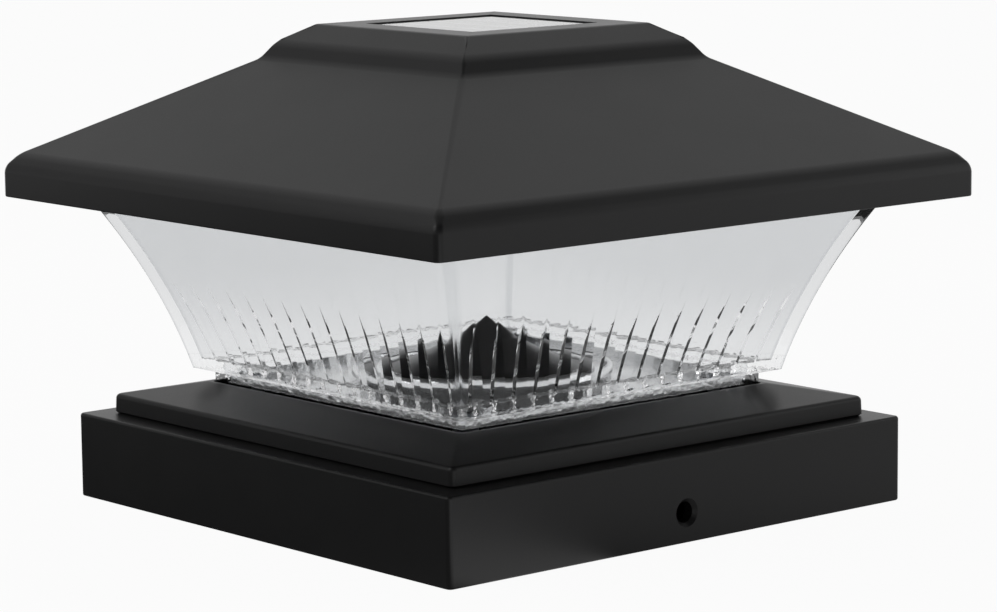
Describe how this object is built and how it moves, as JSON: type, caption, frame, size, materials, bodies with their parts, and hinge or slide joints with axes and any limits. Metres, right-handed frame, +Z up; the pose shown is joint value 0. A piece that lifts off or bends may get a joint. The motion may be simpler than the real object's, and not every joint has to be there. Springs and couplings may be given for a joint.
{
  "type": "post cap light",
  "caption": "Solar post cap light: black pyramid roof with a panel on top, clear fluted lens over a mirrored cone, and a stepped collar that slips over a square post.",
  "frame": {"origin": "middle of the skirt's lower rim, on the light's axis", "axes": "+Z up along the axis; the two fixing holes look along -Y and +Y"},
  "size_m": [0.127, 0.127, 0.0885],
  "materials": {
    "black_plastic": "satin",
    "tray_plastic": "matte",
    "clear_plastic": "polished",
    "mirror_coat": "vacuum-metallised, mirror bright",
    "foam": "matte",
    "seal_rubber": "matte",
    "steel": "zinc-plated screws",
    "contact_metal": "nickel-plated spring strip",
    "cell_steel": "bright drawn can",
    "cell_sleeve": "shrink sleeve",
    "solar_silicon": "dark blue silicon with fine metal lines",
    "panel_laminate": "satin",
    "panel_cover": "polished",
    "board_laminate": "green solder mask",
    "board_parts": "moulded and lacquered parts",
    "led_resin": "polished",
    "switch_case": "folded tin-plated case",
    "switch_white": "satin",
    "wire_red": "soft insulated lead",
    "wire_black": "soft insulated lead",
    "wire_yellow": "soft insulated lead"
  },
  "bodies": {
    "base": {"post_skirt": "black_plastic", "base_cap": "black_plastic", "base_seal": "seal_rubber", "base_screws": "steel", "lens": "clear_plastic", "reflector": "mirror_coat"},
    "head": {"roof_cap": "black_plastic", "panel_foam": "foam", "panel_board": "panel_laminate", "solar_cells": "solar_silicon", "panel_glaze": "panel_cover", "head_tray": "tray_plastic", "lens_seal": "seal_rubber", "tray_screws": "steel", "battery_can": "cell_steel", "battery_sleeve": "cell_sleeve", "battery_spring": "contact_metal", "battery_tab": "contact_metal", "circuit_board": "board_laminate", "board_parts": "board_parts", "led": "led_resin", "led_legs": "contact_metal", "switch_body": "switch_case", "switch_wires": "wire_yellow", "solar_wire_red": "wire_red", "solar_wire_black": "wire_black", "battery_wire_red": "wire_red", "battery_wire_black": "wire_black"},
    "door": {"battery_door": "tray_plastic", "door_screw": "steel"},
    "slider": {"switch_slider": "switch_white"}
  },
  "joints": [
    {"name": "head_lift", "type": "slide", "parent": "base", "child": "head", "axis": [0, 0, 1], "range_m": [0, 0.06]},
    {"name": "door_drop", "type": "slide", "parent": "head", "child": "door", "axis": [0, 0, -1], "range_m": [0, 0.018]},
    {"name": "switch_slide", "type": "slide", "parent": "head", "child": "slider", "axis": [1, 0, 0], "range_m": [0, 0.0025]}
  ]
}
